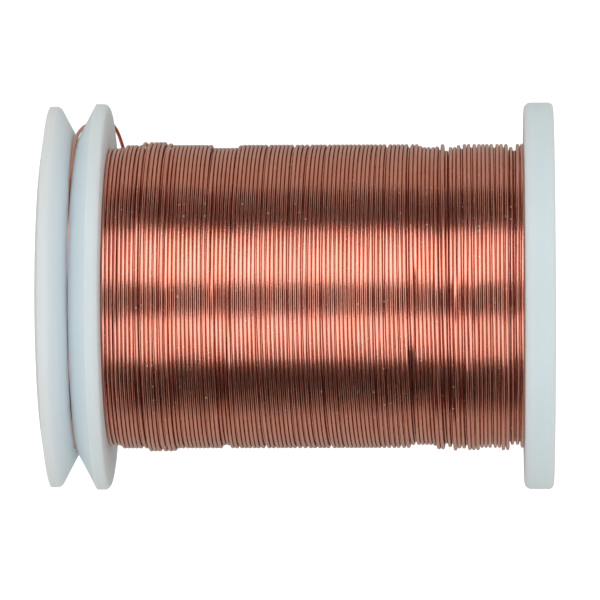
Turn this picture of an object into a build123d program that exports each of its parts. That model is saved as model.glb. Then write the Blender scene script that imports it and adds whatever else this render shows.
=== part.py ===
from build123d import *
import math
import os

# A snap spool of enamelled copper wire, lying on the rims of its two full flanges.
# Lengths are in millimetres. +X runs along the spindle axis towards the base flange, +Z is up,
# and the origin is the middle of the axis. Angles round the axis start at +Z and grow towards +Y.

# Driving dimensions
flange_dia = 50.0
cap_dia = 49.4
bore_dia = 11.0
barrel_dia = 28.0
winding_dia = 39.4
wire_dia = 0.48
base_width = 3.8
winding_width = 53.6
inner_width = 4.03
pinch_gap = 0.1
cap_width = 4.12
cap_travel = 2.0

flange_r = flange_dia / 2
cap_r = cap_dia / 2
bore_r = bore_dia / 2
barrel_r = barrel_dia / 2
winding_r = winding_dia / 2
wire_r = wire_dia / 2

# Faces along the axis, from the base flange's open face to the cap's open face
base_face_x = (base_width + winding_width + inner_width + pinch_gap + cap_width) / 2
winding_base_x = base_face_x - base_width
winding_end_x = winding_base_x - winding_width
groove_face_x = winding_end_x - inner_width
cap_back_x = groove_face_x - pinch_gap
cap_face_x = cap_back_x - cap_width

# Walls and clearances shared by the plastic parts
spindle_wall = 1.5
spindle_tube_r = bore_r + spindle_wall
tube_inner_r = barrel_r - 1.6
seat_r = barrel_r - 0.6
slide_clearance = 0.05
barrel_rib_count = 4
barrel_rib_wall = 1.4
snap_clearance = 0.3
edge_break = 0.4

# Base flange: rim, web, hub ring, ribs and the spigot that enters the barrel
base_outer_fillet = 0.65
base_inner_fillet = 0.9
web_face_x = winding_base_x + 1.65
base_rim_ring_r = 22.2
base_hub_ring_r = 9.4
rib_count = 8
rib_width = 1.1
rib_face_x = base_face_x - 0.5
spigot_end_x = winding_base_x - 4.5
spigot_outer_r = tube_inner_r - slide_clearance
spigot_inner_r = spigot_outer_r - 1.4

# Inner flange: its bevel is one side of the groove that holds the wire's end
bevel_width = 2.43
bevel_height = 4.6
inner_rim_fillet = 0.7
bevel_fillet = 1.4
pocket_inner_r = 15.2
pocket_outer_r = 19.0
pocket_floor_x = groove_face_x + 2.0

# Snap cap: disc, collar on the spindle tube and four fingers that hook into the barrel
cap_bevel_width = 2.27
cap_bevel_height = 4.3
cap_bevel_fillet = 0.7
cap_outer_width = 0.7
cap_outer_height = 4.4
cap_outer_fillet = 0.5
cap_face_fillet = 2.0
cap_dish_x = cap_face_x + 1.6
cap_rim_ring_r = 18.0
cap_hub_ring_r = 9.8
dish_draft = 0.4
cap_bore_r = spindle_tube_r + slide_clearance
collar_r = 8.7
collar_end_x = cap_back_x + 2.95
finger_outer_r = tube_inner_r - snap_clearance
finger_inner_r = finger_outer_r - 1.3
finger_gap = barrel_rib_wall + 2 * snap_clearance
bead_back_x = cap_back_x + 8.35
bead_ramp_x = bead_back_x + 0.5
finger_end_x = bead_back_x + 1.4
bead_r = finger_outer_r + 0.85
window_gap = 9.0

# Barrel: winding tube, spindle tube, the ribs between them and the groove for the cap's beads
bead_groove_r = bead_r + 0.25
bead_stop_x = bead_back_x - cap_travel - 0.1
bead_groove_end_x = finger_end_x + snap_clearance
spindle_end_x = cap_face_x + 0.85
barrel_rib_start_x = collar_end_x + 1.5
barrel_rib_end_x = spigot_end_x - 0.5

# Wire start: out through a hole in the base flange, then bent flat into the dish
start_hole_r = 0.6
start_height = 15.2
start_angle = 202.5
start_reach = 4.8
start_lift = 0.9
start_bend_r = 0.7

# Wire tail: last turn, rise to the inner flange's rim, drop into the groove, run to the cut end.
# Each place is a position along the axis, a height over the axis and an angle round it.
tail_clearance = 0.02
last_turn_r = winding_r + wire_r + tail_clearance
last_turn_step = 15.0
leave_x = -20.0
leave_angle = 152.0
turn_lean = 0.03
lean_places = [2.0, 1.5, 0.5]
rise_places = [(-22.0, 21.2, 139.0), (-23.2, 23.0, 131.0), (-23.95, 24.7, 124.5)]
over_rim_places = [(winding_end_x + 0.02, 25.6, 120.0), (groove_face_x + 2.88, 25.9, 114.5)]
drop_places = [
    (groove_face_x + 1.88, 24.85, 110.0),
    (groove_face_x + 1.33, 23.65, 105.5),
    (groove_face_x + 0.88, 22.75, 99.5),
    (groove_face_x + 0.51, 22.05, 91.5),
    (groove_face_x + 0.1, 21.4, 82.0),
]
groove_run_r = 20.89
groove_run_x = groove_face_x - pinch_gap / 2
groove_run_start = 68.0
groove_run_step = 18.0
groove_run_bends = 8
cut_end_angle = -67.0
bend_share = 0.45


def axis_point(x, radius, angle):
    """A point at a height over the axis, turned from +Z towards +Y."""
    turn = math.radians(angle)
    return Vector(x, radius * math.sin(turn), radius * math.cos(turn))


def corner(profile, x, radius):
    """The corner of a profile that lies nearest to this place."""
    return profile.vertices().sort_by_distance((x, radius, 0))[0]


def bend_radii(points):
    """The largest bend at each point of a route that its two runs leave room for."""
    radii = []
    for before, here, after in zip(points, points[1:], points[2:]):
        run_in = here - before
        run_out = after - here
        half_turn = math.radians(run_in.get_angle(run_out) / 2)
        radii.append(bend_share * min(run_in.length, run_out.length) / math.tan(half_turn))
    return radii


def tail_points():
    """The tail's route, from the last turn of the winding to its cut end in the groove."""
    turn_r = last_turn_r / math.cos(math.radians(last_turn_step / 2))
    points = [
        axis_point(leave_x + steps_back * turn_lean, height, leave_angle + steps_back * last_turn_step)
        for steps_back, height in zip(lean_places, (last_turn_r, turn_r, turn_r))
    ]
    for place in rise_places + over_rim_places + drop_places:
        points.append(axis_point(*place))
    bend_r = groove_run_r / math.cos(math.radians(groove_run_step / 2))
    for bend in range(groove_run_bends):
        points.append(axis_point(groove_run_x, bend_r, groove_run_start - bend * groove_run_step))
    points.append(axis_point(groove_run_x, groove_run_r, cut_end_angle))
    return points


# Base flange
with BuildPart() as base_flange:
    with BuildSketch(Plane.XY):
        with BuildLine():
            Polyline(
                (winding_base_x, spindle_tube_r),
                (winding_base_x, flange_r),
                (base_face_x, flange_r),
                (base_face_x, base_rim_ring_r),
                (web_face_x, base_rim_ring_r),
                (web_face_x, base_hub_ring_r),
                (base_face_x, base_hub_ring_r),
                (base_face_x, spindle_tube_r),
                close=True,
            )
        section = make_face()
        fillet(corner(section, winding_base_x, flange_r), base_inner_fillet)
    revolve(axis=Axis.X)
    rim_edges = base_flange.edges().filter_by(GeomType.CIRCLE)
    fillet(rim_edges.group_by(Axis.X)[-1].sort_by(SortBy.RADIUS)[-1], base_outer_fillet)
    with BuildSketch(Plane.YZ.offset(web_face_x)):
        with PolarLocations((base_rim_ring_r + base_hub_ring_r) / 2, rib_count):
            Rectangle(base_rim_ring_r - base_hub_ring_r + edge_break, rib_width)
    extrude(amount=rib_face_x - web_face_x)
    with BuildSketch(Plane.YZ.offset(winding_base_x)):
        Circle(spigot_outer_r)
        Circle(spigot_inner_r, mode=Mode.SUBTRACT)
    extrude(amount=spigot_end_x - winding_base_x)
    spigot_edges = base_flange.edges().group_by(Axis.X)[0].sort_by(SortBy.RADIUS)
    chamfer(spigot_edges[-1], edge_break)
    start_place = axis_point(web_face_x, start_height, start_angle)
    with Locations(Plane(origin=start_place, z_dir=(1, 0, 0))):
        Hole(start_hole_r, depth=web_face_x - winding_base_x)
base_flange.part.label = "base_flange"

# Barrel
with BuildPart() as barrel:
    with BuildSketch(Plane.XY):
        with BuildLine():
            Polyline(
                (groove_face_x, seat_r),
                (winding_end_x, seat_r),
                (winding_end_x, barrel_r),
                (winding_base_x, barrel_r),
                (winding_base_x, tube_inner_r),
                (bead_groove_end_x, tube_inner_r),
                (bead_groove_end_x, bead_groove_r),
                (bead_stop_x, bead_groove_r),
                (bead_stop_x, tube_inner_r),
                (groove_face_x + edge_break, tube_inner_r),
                (groove_face_x, tube_inner_r + edge_break),
                close=True,
            )
        make_face()
        with BuildLine():
            Polyline(
                (spindle_end_x, bore_r + edge_break),
                (spindle_end_x, spindle_tube_r - edge_break),
                (spindle_end_x + edge_break, spindle_tube_r),
                (base_face_x, spindle_tube_r),
                (base_face_x, bore_r + edge_break),
                (base_face_x - edge_break, bore_r),
                (spindle_end_x + edge_break, bore_r),
                close=True,
            )
        make_face()
    revolve(axis=Axis.X)
    with BuildSketch(Plane.YZ.offset(barrel_rib_start_x)):
        with PolarLocations((spindle_tube_r + tube_inner_r) / 2, barrel_rib_count):
            Rectangle(tube_inner_r - spindle_tube_r + edge_break, barrel_rib_wall)
    extrude(amount=barrel_rib_end_x - barrel_rib_start_x)
barrel.part.label = "barrel"

# Inner flange
with BuildPart() as inner_flange:
    with BuildSketch(Plane.XY):
        with BuildLine():
            Polyline(
                (winding_end_x, seat_r),
                (winding_end_x, flange_r),
                (groove_face_x + bevel_width, flange_r),
                (groove_face_x, flange_r - bevel_height),
                (groove_face_x, pocket_outer_r),
                (pocket_floor_x, pocket_outer_r),
                (pocket_floor_x, pocket_inner_r),
                (groove_face_x, pocket_inner_r),
                (groove_face_x, seat_r),
                close=True,
            )
        section = make_face()
        fillet(corner(section, winding_end_x, flange_r), inner_rim_fillet)
        fillet(corner(section, groove_face_x + bevel_width, flange_r), bevel_fillet)
    revolve(axis=Axis.X)
inner_flange.part.label = "inner_flange"

# Snap cap
with BuildPart() as snap_cap:
    # a sleeve with a bead at its end, cut into four fingers
    with BuildSketch(Plane.XY):
        with BuildLine():
            Polyline(
                (cap_back_x, finger_inner_r),
                (cap_back_x, finger_outer_r),
                (bead_back_x, finger_outer_r),
                (bead_back_x, bead_r),
                (bead_ramp_x, bead_r),
                (finger_end_x, finger_outer_r - edge_break),
                (finger_end_x, finger_inner_r),
                close=True,
            )
        make_face()
    revolve(axis=Axis.X)
    with BuildSketch(Plane.YZ.offset(cap_back_x)):
        with PolarLocations(0, barrel_rib_count):
            Rectangle(cap_dia, finger_gap)
    extrude(amount=finger_end_x - cap_back_x, mode=Mode.SUBTRACT)
    # the disc and the collar
    with BuildSketch(Plane.XY):
        with BuildLine():
            Polyline(
                (collar_end_x, cap_bore_r),
                (collar_end_x, collar_r),
                (cap_back_x, collar_r),
                (cap_back_x, cap_r - cap_bevel_height),
                (cap_back_x - cap_bevel_width, cap_r),
                (cap_face_x + cap_outer_width, cap_r),
                (cap_face_x, cap_r - cap_outer_height),
                (cap_face_x, cap_rim_ring_r),
                (cap_dish_x, cap_rim_ring_r - dish_draft),
                (cap_dish_x, cap_hub_ring_r + dish_draft),
                (cap_face_x, cap_hub_ring_r),
                (cap_face_x, cap_bore_r + edge_break),
                (cap_face_x + edge_break, cap_bore_r),
                close=True,
            )
        section = make_face()
        fillet(corner(section, cap_back_x - cap_bevel_width, cap_r), cap_bevel_fillet)
        fillet(corner(section, cap_face_x + cap_outer_width, cap_r), cap_outer_fillet)
        fillet(corner(section, cap_face_x, cap_r - cap_outer_height), cap_face_fillet)
    revolve(axis=Axis.X)
    # a window in the disc over each bead
    with BuildSketch(Plane.YZ.offset(cap_face_x)):
        Circle(bead_r + edge_break)
        Circle(finger_outer_r, mode=Mode.SUBTRACT)
        with PolarLocations(0, barrel_rib_count):
            Rectangle(cap_dia, window_gap, mode=Mode.SUBTRACT)
    extrude(amount=cap_width, mode=Mode.SUBTRACT)
snap_cap.part.label = "snap_cap"

# Winding: the outer shape of the close-wound turns
with BuildPart() as wire_winding:
    with BuildSketch(Plane.YZ.offset(winding_end_x)):
        Circle(winding_r)
        Circle(barrel_r, mode=Mode.SUBTRACT)
    extrude(amount=winding_width)
wire_winding.part.label = "wire_winding"

# Wire start
start_turn = math.radians(start_angle)
start_side = Vector(0, math.cos(start_turn), -math.sin(start_turn))
start_bend = start_place + Vector(start_lift, 0, 0)
with BuildPart() as wire_start:
    with BuildLine() as start_line:
        FilletPolyline(
            start_place - Vector(web_face_x - winding_base_x, 0, 0),
            start_bend,
            start_bend + start_side * start_reach - Vector(start_lift - wire_r - tail_clearance, 0, 0),
            radius=start_bend_r,
        )
    with BuildSketch(Plane(origin=start_line.line @ 0, z_dir=start_line.line % 0)):
        Circle(wire_r)
    sweep()
wire_start.part.label = "wire_start"

# Wire tail
tail_route = tail_points()
tail_bends = bend_radii(tail_route)
with BuildPart() as wire_tail:
    with BuildLine() as tail_line:
        FilletPolyline(tail_route, radius=tail_bends)
    with BuildSketch(Plane(origin=tail_line.line @ 0, z_dir=tail_line.line % 0)):
        Circle(wire_r)
    sweep()
wire_tail.part.label = "wire_tail"

tail_length = sum(edge.length for edge in tail_line.edges())
print("tail bends", [round(radius, 2) for radius in tail_bends])
print("tail length", round(tail_length, 2))
print("tail volume over section times length", wire_tail.part.volume / (math.pi * wire_r**2 * tail_length))

os.makedirs("parts", exist_ok=True)
export_step(base_flange.part, "parts/base_flange.step")
export_step(barrel.part, "parts/barrel.step")
export_step(inner_flange.part, "parts/inner_flange.step")
export_step(snap_cap.part, "parts/snap_cap.step")
export_step(wire_winding.part, "parts/wire_winding.step")
export_step(wire_start.part, "parts/wire_start.step")
export_step(wire_tail.part, "parts/wire_tail.step")
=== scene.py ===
import math

import bpy
from mathutils import Matrix, Vector, noise


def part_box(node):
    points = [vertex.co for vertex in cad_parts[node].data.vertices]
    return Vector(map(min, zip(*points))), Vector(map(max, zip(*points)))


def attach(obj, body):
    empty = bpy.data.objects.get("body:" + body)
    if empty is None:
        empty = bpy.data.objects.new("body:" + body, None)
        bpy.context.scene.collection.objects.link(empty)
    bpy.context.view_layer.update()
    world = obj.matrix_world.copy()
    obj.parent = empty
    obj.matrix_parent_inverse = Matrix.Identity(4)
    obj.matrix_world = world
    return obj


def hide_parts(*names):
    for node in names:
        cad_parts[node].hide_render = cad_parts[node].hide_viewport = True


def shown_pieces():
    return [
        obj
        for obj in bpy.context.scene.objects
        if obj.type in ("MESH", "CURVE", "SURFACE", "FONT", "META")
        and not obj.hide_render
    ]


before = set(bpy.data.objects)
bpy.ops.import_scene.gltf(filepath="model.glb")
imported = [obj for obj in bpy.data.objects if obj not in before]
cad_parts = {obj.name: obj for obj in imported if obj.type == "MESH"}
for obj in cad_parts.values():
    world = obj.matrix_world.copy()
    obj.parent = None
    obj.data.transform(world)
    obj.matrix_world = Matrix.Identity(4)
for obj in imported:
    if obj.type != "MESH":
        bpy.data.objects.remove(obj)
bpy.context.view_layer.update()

MM = 0.001

# Sizes read from the CAD nodes, in metres. X runs along the spindle axis, the base flange is at +X.
base_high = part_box("base_flange")[1]
winding_low, winding_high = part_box("wire_winding")
flange_r = base_high.z
base_face_x = base_high.x
winding_end_x = winding_low.x
winding_base_x = winding_high.x
winding_r = winding_high.z
groove_face_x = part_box("inner_flange")[0].x

# The wire, its turns and layers, and the gaps it leaves beside the two flanges
wire_r = 0.24 * MM
turn_count = 93
steps_per_turn = 96
layer_step = 0.385 * MM
under_depth = 0.45 * MM
base_gap = 0.005 * MM
inner_gap = 0.04 * MM

# Sides of the tubes, and steps between two corners of the loose end's route
top_sides = 8
under_sides = 6
tail_sides = 16
tail_steps = 8

# Depths of the bump textures, in metres
sink_depth = 0.00002
skin_depth = 0.000004
streak_depth = 0.000006

# Noise between these two values is spread over a texture's whole range
noise_low = 0.3
noise_high = 0.7


# ---------------------------------------------------------------- camera


def make_camera():
    """A long lens over the spool, turned a little towards the base flange."""
    yaw = 0.03253
    roll = -0.0025
    distance = 700.0 * MM
    aside = 32.77 * MM
    rise = 0.47 * MM
    right = Vector((math.cos(yaw), 0, -math.sin(yaw)))
    up = Vector((0, 1, 0))
    ahead = Vector((-math.sin(yaw), 0, -math.cos(yaw)))
    place = Vector((base_face_x, 0, 0)) - right * aside - up * rise - ahead * distance
    rolled_right = right * math.cos(roll) + up * math.sin(roll)
    rolled_up = up * math.cos(roll) - right * math.sin(roll)
    data = bpy.data.cameras.new("camera")
    data.sensor_width = 36.0
    data.lens = 324.66
    data.clip_start = 0.05
    data.clip_end = 20.0
    camera = bpy.data.objects.new("camera", data)
    axes = Matrix((rolled_right, rolled_up, -ahead)).transposed()
    camera.matrix_world = Matrix.Translation(place) @ axes.to_4x4()
    bpy.context.scene.collection.objects.link(camera)
    bpy.context.scene.camera = camera


make_camera()


# ---------------------------------------------------------------- materials


def new_material(name):
    """An empty node material with its Principled shader already wired to the output."""
    material = bpy.data.materials.new(name)
    material.use_nodes = True
    nodes = material.node_tree.nodes
    return material, nodes, material.node_tree.links, nodes["Principled BSDF"]


def scaled_coordinates(nodes, links, scale):
    """Object coordinates times a scale for each axis."""
    coordinates = nodes.new("ShaderNodeTexCoord")
    mapping = nodes.new("ShaderNodeMapping")
    mapping.inputs["Scale"].default_value = scale
    links.new(coordinates.outputs["Object"], mapping.inputs["Vector"])
    return mapping.outputs["Vector"]


def noise_node(nodes, links, scale, detail=3.0, roughness=0.55):
    """A noise texture in object space, so many cells to the metre along each axis."""
    texture = nodes.new("ShaderNodeTexNoise")
    texture.inputs["Scale"].default_value = 1.0
    texture.inputs["Detail"].default_value = detail
    texture.inputs["Roughness"].default_value = roughness
    links.new(scaled_coordinates(nodes, links, scale), texture.inputs["Vector"])
    return texture.outputs["Fac"]


def remap(nodes, links, value, low, high, out_low, out_high):
    """Maps a value's range low to high onto out_low to out_high, clamped."""
    node = nodes.new("ShaderNodeMapRange")
    node.inputs["From Min"].default_value = low
    node.inputs["From Max"].default_value = high
    node.inputs["To Min"].default_value = out_low
    node.inputs["To Max"].default_value = out_high
    links.new(value, node.inputs["Value"])
    return node.outputs["Result"]


def blend_colours(nodes, links, factor, first, second):
    """A colour between two, each given as a colour or as another node's socket."""
    mix = nodes.new("ShaderNodeMix")
    mix.data_type = "RGBA"
    links.new(factor, mix.inputs["Factor"])
    for socket, colour in ((mix.inputs[6], first), (mix.inputs[7], second)):
        if isinstance(colour, tuple):
            socket.default_value = (*colour, 1.0)
        else:
            links.new(colour, socket)
    return mix.outputs[2]


def add_bump(nodes, links, height, distance, shader, below=None):
    """Bump of a real height in metres."""
    bump = nodes.new("ShaderNodeBump")
    bump.inputs["Strength"].default_value = 1.0
    bump.inputs["Distance"].default_value = distance
    links.new(height, bump.inputs["Height"])
    if below is not None:
        links.new(below, bump.inputs["Normal"])
    links.new(bump.outputs["Normal"], shader.inputs["Normal"])
    return bump.outputs["Normal"]


def plastic_material(name, pale, shaded, depth):
    """Translucent moulded polypropylene with a satin skin; light sinks in by a depth in metres."""
    material, nodes, links, shader = new_material(name)
    clouds = noise_node(nodes, links, (90, 90, 90), detail=2.0)
    tone = remap(nodes, links, clouds, noise_low, noise_high, 0.0, 1.0)
    links.new(blend_colours(nodes, links, tone, shaded, pale), shader.inputs["Base Color"])
    skin = noise_node(nodes, links, (1400, 1400, 1400), detail=4.0, roughness=0.6)
    finish = remap(nodes, links, skin, noise_low, noise_high, 0.41, 0.52)
    links.new(finish, shader.inputs["Roughness"])
    shader.inputs["IOR"].default_value = 1.49
    shader.inputs["Subsurface Weight"].default_value = 1.0
    shader.inputs["Subsurface Radius"].default_value = (0.5, 0.55, 0.5)
    shader.inputs["Subsurface Scale"].default_value = depth
    shader.inputs["Specular IOR Level"].default_value = 0.3
    sinks = noise_node(nodes, links, (160, 160, 160), detail=1.0)
    waves = add_bump(nodes, links, sinks, sink_depth, shader)
    add_bump(nodes, links, skin, skin_depth, shader, waves)
    return material


def dust_mask(nodes, links):
    """1 on a few small specks of dust, 0 elsewhere."""
    cells = nodes.new("ShaderNodeTexVoronoi")
    cells.inputs["Scale"].default_value = 1.0
    places = scaled_coordinates(nodes, links, (1500, 1300, 1300))
    links.new(places, cells.inputs["Vector"])
    speck = remap(nodes, links, cells.outputs["Distance"], 0.10, 0.17, 1.0, 0.0)
    parts = nodes.new("ShaderNodeSeparateColor")
    links.new(cells.outputs["Color"], parts.inputs["Color"])
    chosen = remap(nodes, links, parts.outputs["Red"], 0.74, 0.76, 0.0, 1.0)
    both = nodes.new("ShaderNodeMath")
    both.operation = "MULTIPLY"
    links.new(speck, both.inputs[0])
    links.new(chosen, both.inputs[1])
    return both.outputs["Value"]


def copper_material(name):
    """Enamelled copper: a drawn metal core under a clear coat, with fine dust on it."""
    material, nodes, links, shader = new_material(name)
    clouds = noise_node(nodes, links, (1500, 110, 110), detail=2.0)
    tone = remap(nodes, links, clouds, noise_low, noise_high, 0.0, 1.0)
    metal = blend_colours(nodes, links, tone, (0.76, 0.275, 0.19), (0.88, 0.385, 0.29))
    dust = dust_mask(nodes, links)
    metal = blend_colours(nodes, links, dust, metal, (0.75, 0.66, 0.62))
    links.new(remap(nodes, links, dust, 0.0, 1.0, 1.0, 0.25), shader.inputs["Metallic"])
    streaks = noise_node(nodes, links, (16000, 220, 220), detail=2.0)
    finish = remap(nodes, links, streaks, noise_low, noise_high, 0.17, 0.28)
    links.new(finish, shader.inputs["Roughness"])
    links.new(metal, shader.inputs["Base Color"])
    shader.inputs["Coat Weight"].default_value = 0.3
    shader.inputs["Coat Roughness"].default_value = 0.12
    shader.inputs["Coat IOR"].default_value = 1.55
    add_bump(nodes, links, streaks, streak_depth, shader)
    return material


spool_plastic = plastic_material(
    "spool_plastic", (0.775, 0.885, 0.965), (0.76, 0.87, 0.95), 0.006
)
cap_plastic = plastic_material(
    "cap_plastic", (0.83, 0.89, 0.91), (0.815, 0.875, 0.895), 0.007
)
copper = copper_material("enamelled_copper")


# ---------------------------------------------------------------- wire


def smooth(edge, value, width):
    """0 well below an edge and 1 well above it, easing over a width."""
    t = min(1.0, max(0.0, (value - edge) / width + 0.5))
    return t * t * (3.0 - 2.0 * t)


def wander(seed, place):
    """Smooth repeatable noise between about -1 and 1."""
    return noise.noise(Vector((place, seed * 17.31, 4.7)))


# Where the top layer is missing or raised, in mm along X: its two ends at +Y, its two ends at -Y
# and how many layers it stands above the rest. A side whose ends cross over has no such stretch.
uneven_layers = [
    (-25.5, -22.3, -25.5, -23.1, -1),
    (-20.2, -16.6, -19.5, -16.1, 1),
    (-11.0, -7.6, -9.9, -8.8, -1),
    (15.7, 17.9, 14.5, 17.6, -1),
    (18.7, 20.6, 19.5, 19.8, -1),
    (27.1, 27.7, 27.1, 28.3, -1),
    (18.4, 18.1, 17.5, 18.9, 0.45),
    (20.6, 20.3, 19.9, 20.6, 0.9),
    (22.6, 22.3, 21.3, 23.4, 0.75),
    (26.7, 26.4, 26.0, 27.0, 0.8),
]
# How far a stretch takes to rise or fall at its ends
layer_ease = 0.3 * MM
# Where neighbouring turns stand apart, in mm along X, and how far the parting reaches
parted_reach = 0.3 * MM
parted_turns = [-24.3, -19.1, -16.8, -3.2, 4.6, 12.4, 15.3, 19.8, 21.6]


def layer_at(x, angle):
    """How many layers the wire stands above the usual one, along and round the winding."""
    side = 0.5 + 0.5 * math.sin(angle)
    level = 0.0
    for top_start, top_end, low_start, low_end, rise in uneven_layers:
        start = (low_start + (top_start - low_start) * side) * MM
        end = (low_end + (top_end - low_end) * side) * MM
        level += rise * smooth(start, x, layer_ease) * (1.0 - smooth(end, x, layer_ease))
    return level


def gap_share(about_x, turn):
    """How much of the free width the gap beside a turn gets, against the others."""
    lively = wander(1, turn * 1.9) + 0.8 * wander(2, turn * 0.7)
    parted = sum(
        math.exp(-(((about_x - place * MM) / parted_reach) ** 2))
        for place in parted_turns
    )
    return 0.10 + max(0.0, lively) ** 1.5 + 0.8 * parted


def turn_places(steps):
    """The X of the top layer's wire at every step of every turn, from the base flange inwards."""
    width = winding_base_x - winding_end_x - 2 * wire_r - base_gap - inner_gap
    total = turn_count * steps
    first_x = winding_base_x - wire_r - base_gap
    gaps = []
    for step in range(total):
        turn = step / steps
        gaps.append(gap_share(first_x - width * turn / turn_count, turn))
    slack = width - (turn_count - 1) * 2 * wire_r
    shares = [slack / sum(gaps[step : total - steps : steps]) for step in range(steps)]
    places = [first_x] * steps
    for step in range(steps, total):
        drop = 2 * wire_r + gaps[step - steps] * shares[step % steps]
        places.append(places[step - steps] - drop)
    # each turn runs square to the axis, and steps over to the next in a short stretch at the back
    jog = steps // 6
    eased = list(places)
    for seam in range(steps, total, steps):
        before = places[seam - jog]
        after = places[seam + jog - 1] if seam + jog - 1 < total else places[-1]
        for step in range(seam - jog, min(seam + jog, total)):
            share = smooth(0.5, (step - (seam - jog)) / (2 * jog - 1), 1.0)
            eased[step] = before + (after - before) * share
    return eased


def tube_from_rings(name, verts, rings, sides):
    """A closed tube mesh over rings of points."""
    faces = []
    for ring in range(rings - 1):
        here = ring * sides
        for side in range(sides):
            after = (side + 1) % sides
            faces.append((here + side, here + after, here + sides + after, here + sides + side))
    faces.append(tuple(reversed(range(sides))))
    last = (rings - 1) * sides
    faces.append(tuple(last + side for side in range(sides)))
    mesh = bpy.data.meshes.new(name)
    mesh.from_pydata(verts, [], faces)
    mesh.validate()
    mesh.polygons.foreach_set("use_smooth", [True] * len(mesh.polygons))
    return mesh


def tube_mesh(name, centres, sides):
    """A tube round centres that turn about the X axis."""
    verts = []
    for x, radius, angle in centres:
        out_y = math.sin(angle)
        out_z = math.cos(angle)
        for side in range(sides):
            lean = 2 * math.pi * side / sides
            reach = radius + wire_r * math.cos(lean)
            verts.append((x + wire_r * math.sin(lean), reach * out_y, reach * out_z))
    return tube_from_rings(name, verts, len(centres), sides)


def add_piece(name, mesh, material, body, *replaced):
    """Puts a mesh into the scene as a piece that rides on a body."""
    mesh.materials.clear()
    mesh.materials.append(material)
    piece = bpy.data.objects.new(name, mesh)
    bpy.context.scene.collection.objects.link(piece)
    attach(piece, body)
    if replaced:
        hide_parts(*replaced)
    return piece


def make_winding():
    """The top layer of turns and one more under it, in place of the CAD's solid winding."""
    steps = steps_per_turn
    places = turn_places(steps)
    top_r = winding_r - wire_r
    top = []
    for step, x in enumerate(places):
        angle = math.pi + 2 * math.pi * (step % steps) / steps
        radius = top_r + layer_step * layer_at(x, angle)
        top.append((x, radius, angle))
    under = []
    for step in range(len(places) - steps):
        x, radius, angle = top[step]
        next_x, next_radius, _ = top[step + steps]
        under.append(((x + next_x) / 2, min(radius, next_radius) - under_depth, angle))
    top_mesh = tube_mesh("winding_top_layer", top, top_sides)
    add_piece("winding_top_layer", top_mesh, copper, "spool", "wire_winding")
    under_mesh = tube_mesh("winding_under_layer", under, under_sides)
    add_piece("winding_under_layer", under_mesh, copper, "spool")


# The loose end, from the last turn over the inner flange's rim into the groove, where it is pulled
# down into the slit and its sides cut 0.19 mm into the flange and the cap. Each corner is a
# distance along X in mm from the winding's end or from the groove's face, a height over the axis
# in mm and an angle in degrees.
tail_from_winding_end = [
    (4.18, 19.86, 190.0),
    (4.16, 19.87, 172.0),
    (3.95, 19.95, 158.0),
    (3.2, 20.5, 147.0),
    (2.3, 21.5, 138.0),
    (1.38, 23.0, 131.0),
    (0.63, 24.7, 124.5),
    (0.02, 25.6, 120.0),
]
tail_from_groove_face = [
    (2.88, 25.9, 114.5),
    (1.88, 24.85, 110.0),
    (1.33, 23.65, 105.5),
    (0.88, 22.75, 99.5),
    (0.52, 22.05, 91.5),
    (0.12, 21.4, 81.0),
    (-0.05, 21.0, 70.0),
    (-0.05, 20.72, 60.0),
    (-0.05, 20.52, 50.0),
    (-0.05, 20.36, 40.0),
    (-0.05, 20.22, 30.0),
    (-0.05, 20.12, 20.0),
    (-0.05, 20.02, 10.0),
    (-0.05, 19.8, 1.0),
    (-0.05, 19.5, -8.0),
    (-0.05, 19.5, -17.0),
    (-0.05, 19.9, -26.0),
    (-0.05, 20.2, -36.0),
    (-0.05, 20.28, -46.0),
    (-0.05, 20.28, -57.0),
    (-0.05, 20.2, -67.0),
]


def axis_point(x, radius, angle):
    """A point at a height over the axis, turned from +Z towards +Y."""
    turn = math.radians(angle)
    return Vector((x, radius * math.sin(turn), radius * math.cos(turn)))


def smooth_path(corners, steps):
    """A quadratic B-spline that starts and ends on a route's ends and rounds its corners."""
    controls = [corners[0] * 2 - corners[1]] + corners + [corners[-1] * 2 - corners[-2]]
    path = []
    for before, here, after in zip(controls, controls[1:], controls[2:]):
        for step in range(steps):
            t = step / steps
            path.append(
                before * (0.5 * (1 - t) ** 2)
                + here * (0.5 + t - t * t)
                + after * (0.5 * t * t)
            )
    path.append((controls[-2] + controls[-1]) / 2)
    return path


def swept_tube(name, path, radius, sides):
    """A round tube along a path, its section carried along without twist, smaller at both ends."""
    verts = []
    across = None
    for place, here in enumerate(path):
        ahead = (path[min(place + 1, len(path) - 1)] - path[max(place - 1, 0)]).normalized()
        if across is None:
            across = ahead.orthogonal()
        across = (across - ahead * across.dot(ahead)).normalized()
        other = ahead.cross(across)
        at_end = place in (0, len(path) - 1)
        reach = radius * (0.8 if at_end else 1.0)
        for side in range(sides):
            lean = 2 * math.pi * side / sides
            verts.append(
                here
                + across * (reach * math.cos(lean))
                + other * (reach * math.sin(lean))
            )
    return tube_from_rings(name, verts, len(path), sides)


def make_tail():
    """The loose end along its two tables of corners, in place of the CAD's wire_tail."""
    corners = [
        axis_point(start_x + x * MM, radius * MM, angle)
        for start_x, table in (
            (winding_end_x, tail_from_winding_end),
            (groove_face_x, tail_from_groove_face),
        )
        for x, radius, angle in table
    ]
    path = smooth_path(corners, tail_steps)
    mesh = swept_tube("loose_wire_end", path, wire_r, tail_sides)
    add_piece("loose_wire_end", mesh, copper, "spool", "wire_tail")


make_winding()
make_tail()


# ---------------------------------------------------------------- carried-over CAD nodes


def paint(node, material):
    """Gives a CAD node a better material."""
    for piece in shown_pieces():
        if piece.name == node:
            for place in piece.material_slots:
                place.material = material


for node in ("base_flange", "barrel", "inner_flange"):
    paint(node, spool_plastic)
paint("snap_cap", cap_plastic)
paint("wire_start", copper)


# ---------------------------------------------------------------- floor and light


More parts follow.
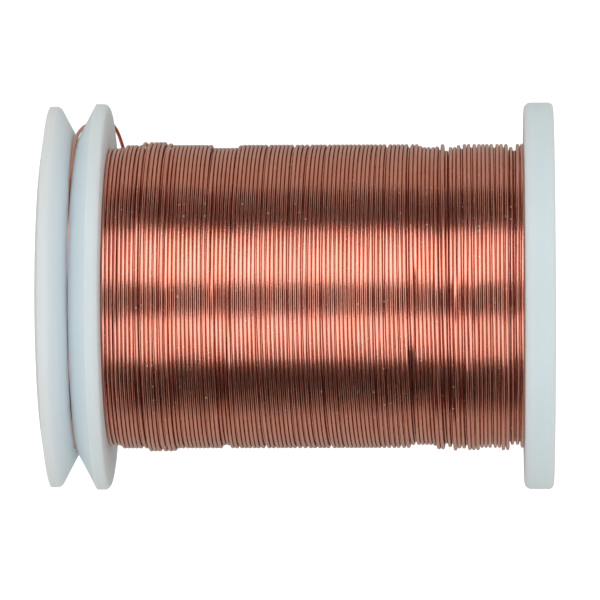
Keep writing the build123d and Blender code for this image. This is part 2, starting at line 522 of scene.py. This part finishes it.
# Sizes and distances of the floor and the lights, in metres, and the end lights' tilt in degrees
floor_size = 6.0
overhead_distance = 0.8
overhead_length = 2.4
top_distance = 1.0
end_distance = 1.0
end_tilt = 68.0


def make_floor():
    """A floor: near white to the camera, darker to every other ray, and darker still towards -Y,
    where painted shade darkens its colour.
    """
    bpy.ops.mesh.primitive_plane_add(size=floor_size, location=(0, 0, -flange_r))
    floor = bpy.context.object
    floor.name = "floor"
    material, nodes, links, shader = new_material("floor")
    sides = nodes.new("ShaderNodeSeparateXYZ")
    links.new(scaled_coordinates(nodes, links, (1, 1, 1)), sides.inputs["Vector"])
    # Painted shade: the floor's colour darkens from pale near the spool to dark far towards -Y, so
    # the copper reflects a dim floor there.
    nearness = remap(nodes, links, sides.outputs["Y"], -0.32, -0.12, 0.0, 1.0)
    tint = blend_colours(nodes, links, nearness, (0.12, 0.12, 0.11), (0.60, 0.60, 0.54))
    links.new(tint, shader.inputs["Base Color"])
    shader.inputs["Roughness"].default_value = 0.9
    glow = nodes.new("ShaderNodeEmission")
    glow.inputs["Strength"].default_value = 0.86
    shown = nodes.new("ShaderNodeAddShader")
    path = nodes.new("ShaderNodeLightPath")
    mix = nodes.new("ShaderNodeMixShader")
    links.new(shader.outputs["BSDF"], shown.inputs[0])
    links.new(glow.outputs["Emission"], shown.inputs[1])
    links.new(path.outputs["Is Camera Ray"], mix.inputs["Fac"])
    links.new(shader.outputs["BSDF"], mix.inputs[1])
    links.new(shown.outputs["Shader"], mix.inputs[2])
    links.new(mix.outputs["Shader"], nodes["Material Output"].inputs["Surface"])
    floor.data.materials.append(material)


def soft_box(name, placing, length, width, power):
    """A rectangular soft light that shines down at the origin, moved from there by a matrix."""
    data = bpy.data.lights.new(name, "AREA")
    data.shape = "RECTANGLE"
    data.size = length
    data.size_y = width
    data.energy = power
    light = bpy.data.objects.new(name, data)
    light.matrix_world = placing
    bpy.context.scene.collection.objects.link(light)
    return light


def overhead_light(name, tilt, width, power):
    """A long soft box tilted from overhead about the X axis, seen only by reflections."""
    turn = Matrix.Rotation(math.radians(-tilt), 4, "X")
    placing = turn @ Matrix.Translation((0, 0, overhead_distance))
    light = soft_box(name, placing, overhead_length, width, power)
    light.visible_diffuse = False


def top_light(power):
    """A broad soft light overhead that shapes the matt plastic and isn't seen in reflections."""
    placing = Matrix.Translation((0, 0, top_distance))
    light = soft_box("light_top", placing, 1.4, 1.0, power)
    light.visible_glossy = False


def end_light(name, side, power):
    """A soft card off one end of the spool, facing it, seen only by reflections."""
    turn = Matrix.Rotation(math.radians(side * end_tilt), 4, "Y")
    placing = turn @ Matrix.Translation((0, 0, end_distance))
    light = soft_box(name, placing, 0.7, 0.8, power)
    light.visible_diffuse = False


def make_world():
    """Pale to the camera, an even fill for matt surfaces, and dim in reflections."""
    world = bpy.data.worlds.new("world")
    bpy.context.scene.world = world
    world.use_nodes = True
    nodes = world.node_tree.nodes
    links = world.node_tree.links
    dim = nodes["Background"]
    direction = nodes.new("ShaderNodeTexCoord")
    sides = nodes.new("ShaderNodeSeparateXYZ")
    links.new(direction.outputs["Generated"], sides.inputs["Vector"])
    farness = remap(nodes, links, sides.outputs["Y"], -0.8, 0.3, 0.0, 1.0)
    tint = blend_colours(nodes, links, farness, (0.4, 0.4, 0.4), (1.0, 1.0, 1.0))
    links.new(tint, dim.inputs["Color"])
    dim.inputs["Strength"].default_value = 0.06
    pale = nodes.new("ShaderNodeBackground")
    pale.inputs["Strength"].default_value = 1.0
    fill = nodes.new("ShaderNodeBackground")
    fill.inputs["Strength"].default_value = 0.95
    path = nodes.new("ShaderNodeLightPath")
    soft = nodes.new("ShaderNodeMixShader")
    links.new(path.outputs["Is Diffuse Ray"], soft.inputs["Fac"])
    links.new(dim.outputs["Background"], soft.inputs[1])
    links.new(fill.outputs["Background"], soft.inputs[2])
    mix = nodes.new("ShaderNodeMixShader")
    links.new(path.outputs["Is Camera Ray"], mix.inputs["Fac"])
    links.new(soft.outputs["Shader"], mix.inputs[1])
    links.new(pale.outputs["Background"], mix.inputs[2])
    links.new(mix.outputs["Shader"], nodes["World Output"].inputs["Surface"])


make_floor()
overhead_light("light_far", 31.5, 0.60, 8.5)
overhead_light("light_near", -32.8, 0.50, 6.2)
top_light(0.9)
end_light("light_base_end", 1, 2.0)
end_light("light_cap_end", -1, 2.0)
make_world()
bpy.context.scene.view_settings.view_transform = "Standard"
